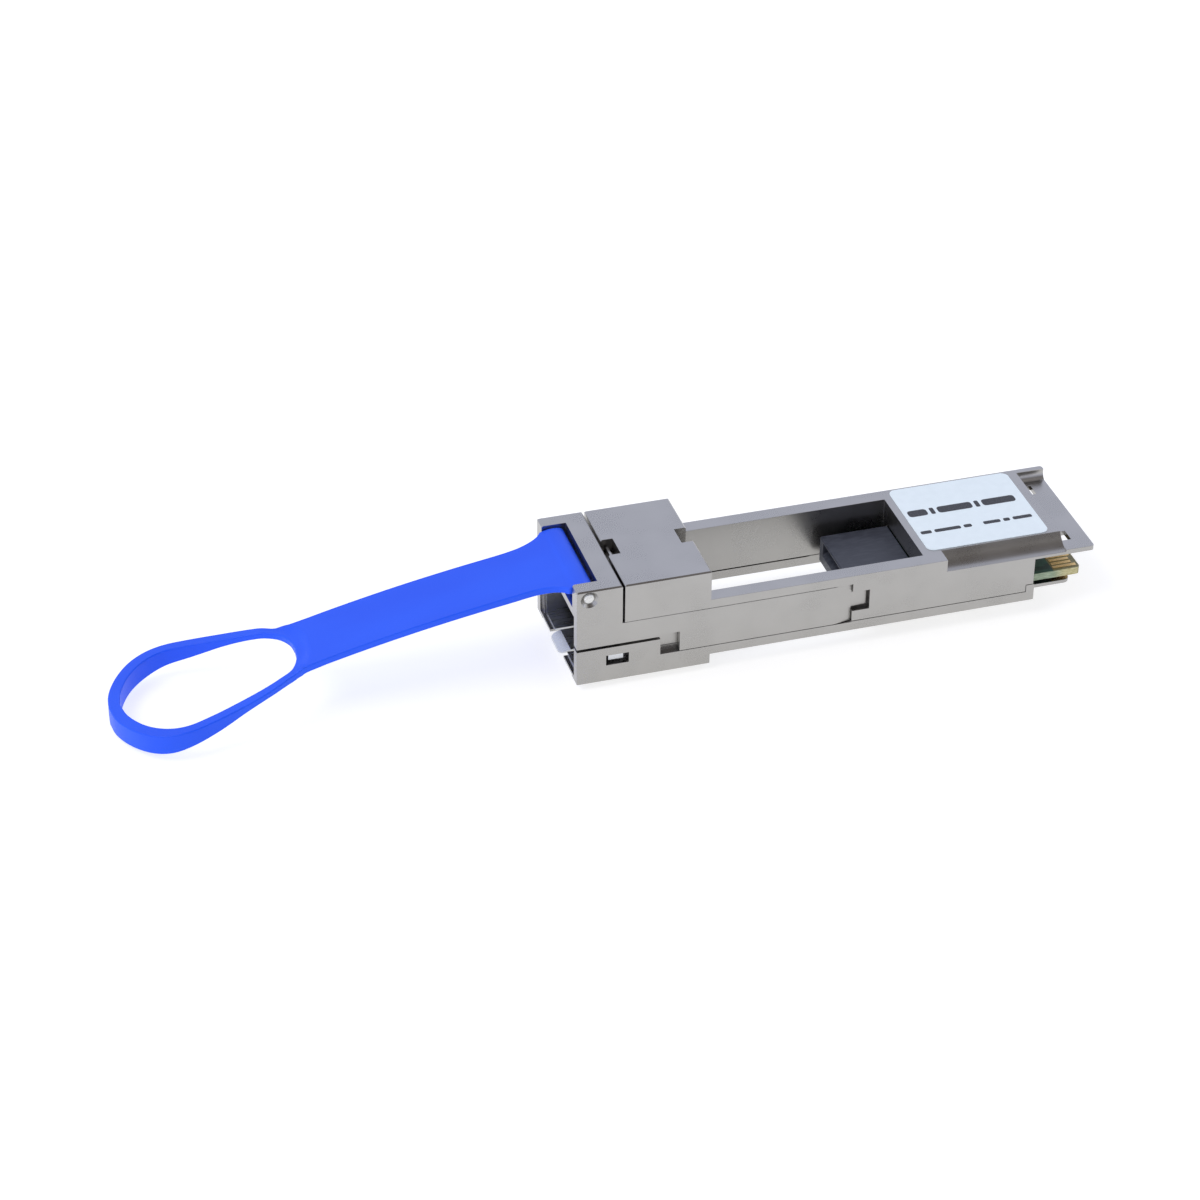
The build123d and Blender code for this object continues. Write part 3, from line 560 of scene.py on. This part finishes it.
def pull_tab():
    """Builds one half of the moulding face by face, mirrors it and rounds its edges."""
    # strap and root: inner line on the centre plane, outer line along the flare
    flare = curve_through(FLARE, ROOT_STEPS)
    neck = OUTLINE[0]
    strap = even([flare[-1], neck], STRAP_ROWS - len(flare))
    root = even([Vector((ROOT_END, ROOT_HALF, 0)), flare[0]], ROOT_ROWS)
    outer = root[:-1] + flare[:-1] + strap
    inner = [Vector((p.x, 0, 0)) for p in outer]
    rows = list(zip(inner, outer))
    # ring round the hole: its outer line crosses the end of the strap, then follows the outline
    hole = even(curve_through(HOLE, PLAN_STEPS), RING_ROWS)
    outline = even(curve_through(OUTLINE, PLAN_STEPS), RING_ROWS - ACROSS)
    crossing = [Vector((neck.x, neck.y * i / ACROSS, 0)) for i in range(ACROSS)]
    ring_outer = crossing + outline

    bm = bmesh.new()
    cache = {}
    hole_edge = curve_through(HOLE, RIM_STEPS)

    def rim_step(p):
        """How far the band lies below the strap's surface at a plan point."""
        if p.x > HOLE_TIP + RIM_REACH:
            return 0.0
        distance = min((p - q).length for q in hole_edge)
        fade = smooth_step(p.x, HOLE_TIP - RIM_FADE[0], HOLE_TIP - RIM_FADE[1])
        return RIM_DROP * fade * (1 - smooth_step(distance, *RIM_STEP))

    def corner_at(p, on_top):
        """The vertex above or under a plan point, made once."""
        key = (round(p.x / SAME_PLACE), round(p.y / SAME_PLACE), on_top)
        if key not in cache:
            z = (top_at(p.x) if on_top else under_at(p.x)) - rim_step(p)
            cache[key] = bm.verts.new((p.x, p.y, z))
        return cache[key]

    def quad(points):
        """A face through the points, a triangle where two of them are one."""
        corners = []
        for vertex in points:
            if vertex not in corners:
                corners.append(vertex)
        if len(corners) > 2:
            bm.faces.new(corners)

    def strip(pairs, cuts):
        """Top and underside between successive pairs of inner and outer points."""
        grid = [[a.lerp(b, c) for c in cuts] for a, b in pairs]
        for row, following in zip(grid, grid[1:]):
            for i in range(len(cuts) - 1):
                loop = (row[i], row[i + 1], following[i + 1], following[i])
                quad([corner_at(p, True) for p in loop])
                quad([corner_at(p, False) for p in reversed(loop)])
        return grid

    strap_grid = strip(rows, [i / ACROSS for i in range(ACROSS + 1)])
    ring_grid = strip(list(zip(hole, ring_outer)), RING_CUTS)

    def wall(line):
        """Upright face between the top and the underside along a line."""
        for a, b in zip(line, line[1:]):
            quad([corner_at(a, True), corner_at(b, True), corner_at(b, False), corner_at(a, False)])

    wall([row[-1] for row in strap_grid])
    wall(strap_grid[0])
    wall([row[-1] for row in ring_grid[ACROSS:]])
    wall([row[0] for row in ring_grid])
    add_mirror_image(bm)
    mark_rounding(bm)
    tab = mesh_object("pull_tab_moulding", bm, MATERIALS["blue_elastomer"])
    bevel = tab.modifiers.new("rounded", "BEVEL")
    bevel.width = EDGE
    bevel.segments = 4
    bevel.limit_method = "WEIGHT"
    bevel.use_clamp_overlap = True
    bevel.harden_normals = True
    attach(tab, "tab")
    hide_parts("pull_tab")


pull_tab()


# ---- print on the label: plain dashes in two rows --------------------------------------------

INK_GAP, INK = 0.004 * MM, 0.012 * MM            # gap over the film, and thickness
TALL, SMALL = 1.5 * MM, 0.7 * MM                 # heights of the dashes
DASH_GAP = 0.45 * MM
CORNER_SHARE = 0.3                               # corner radius, as a share of the shorter side
CORNER_POINTS = 4
# each row: start from the label's left and lower edges, height, lengths in mm
DASHES = (
    (0.55 * MM, 8.2 * MM, TALL, (2.7, 0.6, 4.9, 0.6, 4.7)),
    (0.55 * MM, 3.9 * MM, SMALL, (1.5, 3.7, 1.1)),
    (9.45 * MM, 3.9 * MM, SMALL, (2.4, 0.9, 2.7)),
)


def label_print():
    """Dashes of ink just above the film."""
    low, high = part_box("rating_label")
    under, over = high.z + INK_GAP, high.z + INK_GAP + INK
    bm = bmesh.new()

    def dash(x, y, length, height):
        """A bar with round corners, open underneath."""
        corner = CORNER_SHARE * min(height, length)
        outline = []
        for cx, cy, start in (
            (length - corner, corner, -90), (length - corner, height - corner, 0),
            (corner, height - corner, 90), (corner, corner, 180),
        ):
            for k in range(CORNER_POINTS):
                angle = math.radians(start + 90 * k / (CORNER_POINTS - 1))
                outline.append((cx + corner * math.cos(angle), cy + corner * math.sin(angle)))
        bottom = [bm.verts.new((x + u, y + v, under)) for u, v in outline]
        top = [bm.verts.new((x + u, y + v, over)) for u, v in outline]
        bm.faces.new(top)
        for i in range(len(outline)):
            j = (i + 1) % len(outline)
            bm.faces.new((bottom[i], bottom[j], top[j], top[i]))

    for along, up, height, lengths in DASHES:
        x = low.x + along
        for length in lengths:
            dash(x, low.y + up, length * MM, height)
            x += length * MM + DASH_GAP
    printed = mesh_object("label_print", bm, print_ink())
    for polygon in printed.data.polygons:
        polygon.use_smooth = False
    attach(printed, "module_body")


label_print()


# ---- studio ----------------------------------------------------------------------------------

FLOOR_REACH = 3.0
FLOOR_GAP = 0.3 * MM                             # below the lowest point of the part
FLOOR_COLOUR, FLOOR_GLOW = (0.5, 0.5, 0.49, 1), 0.7

# Walls of the studio: pale, except round the dark side's direction. The two shares say how far
# a wall's direction agrees with it where the shade begins and where it is full.
DARK_SIDE = Vector((0.22, -0.46, 0.86)).normalized()
PALE, DARK = (0.87, 0.915, 1.1, 1), (0.2, 0.18, 0.172, 1)
SHADE_BEGINS, SHADE_FULL = 0.6, 0.86

# each lamp: plan offset from the part's middle, height, size, watts, colour
LAMPS = {
    "key": ((-0.5, -0.1), 0.7, (0.4, 0.4), 2.1, (1, 0.98, 0.95)),
    "fill": ((0.6, -0.3), 0.4, (0.4, 0.5), 0.5, (0.95, 0.97, 1)),
}


def studio_floor():
    """Pale floor just under the lowest point."""
    bm = bmesh.new()
    level = cad_box[0].z - FLOOR_GAP
    signs = ((-1, -1), (1, -1), (1, 1), (-1, 1))
    bm.faces.new([bm.verts.new((x * FLOOR_REACH, y * FLOOR_REACH, level)) for x, y in signs])
    look = Shader(
        "studio_floor", 0.0, Base_Color=FLOOR_COLOUR, Roughness=0.8, Specular_IOR_Level=0.0,
        Emission_Color=(1, 1, 1, 1), Emission_Strength=FLOOR_GLOW,
    )
    floor = mesh_object("studio_floor", bm, look.material)


def studio_walls():
    """Pale cool walls all round, with the dark side above and behind the camera."""
    world = bpy.data.worlds.new("studio")
    bpy.context.scene.world = world
    world.use_nodes = True
    nodes, links = world.node_tree.nodes, world.node_tree.links
    place = nodes.new("ShaderNodeTexCoord")
    along = nodes.new("ShaderNodeVectorMath")
    along.operation = "DOT_PRODUCT"
    along.inputs[1].default_value = DARK_SIDE
    links.new(place.outputs["Generated"], along.inputs[0])
    ramp = nodes.new("ShaderNodeValToRGB")
    ramp.color_ramp.interpolation = "EASE"
    steps = ((SHADE_BEGINS, PALE), (SHADE_FULL, DARK))
    for element, (position, colour) in zip(ramp.color_ramp.elements, steps):
        element.position = position
        element.color = colour
    links.new(along.outputs["Value"], ramp.inputs["Fac"])
    background = nodes["Background"]
    background.inputs["Strength"].default_value = 1.0
    links.new(ramp.outputs["Color"], background.inputs["Color"])


def area_light(name, offset, height, size, watts, colour):
    """A soft box that faces the part's middle."""
    middle = (cad_box[0] + cad_box[1]) / 2
    place = Vector((middle.x + offset[0], middle.y + offset[1], height))
    lamp = bpy.data.lights.new(name, "AREA")
    lamp.shape = "RECTANGLE"
    lamp.size, lamp.size_y = size
    lamp.energy = watts
    lamp.color = colour
    made = bpy.data.objects.new(name, lamp)
    made.location = place
    made.rotation_euler = (middle - place).to_track_quat("-Z", "Y").to_euler()
    bpy.context.scene.collection.objects.link(made)


# ---- camera: long lens from above the near side, as solved on the photo's corners ------------

SENSOR, LENS = 36, 101.45                        # mm
CLIP = (0.01, 20)
PLACE = Vector((-0.119109, -0.348359, 0.251908))
LOOK = Vector((0.24297, 0.79118, -0.56124)).normalized()
UPWARDS = Vector((0.15729, 0.53879, 0.82762))


def camera():
    data = bpy.data.cameras.new("camera")
    data.sensor_width = SENSOR
    data.lens = LENS
    data.clip_start, data.clip_end = CLIP
    made = bpy.data.objects.new("camera", data)
    bpy.context.scene.collection.objects.link(made)
    bpy.context.scene.camera = made
    right = LOOK.cross(UPWARDS).normalized()
    up = right.cross(LOOK)
    made.matrix_world = Matrix((
        (right.x, up.x, -LOOK.x, PLACE.x),
        (right.y, up.y, -LOOK.y, PLACE.y),
        (right.z, up.z, -LOOK.z, PLACE.z),
        (0, 0, 0, 1),
    ))


studio_floor()
studio_walls()
for name, settings in LAMPS.items():
    area_light(name, *settings)
camera()
bpy.context.scene.view_settings.view_transform = "Standard"

bpy.context.view_layer.update()
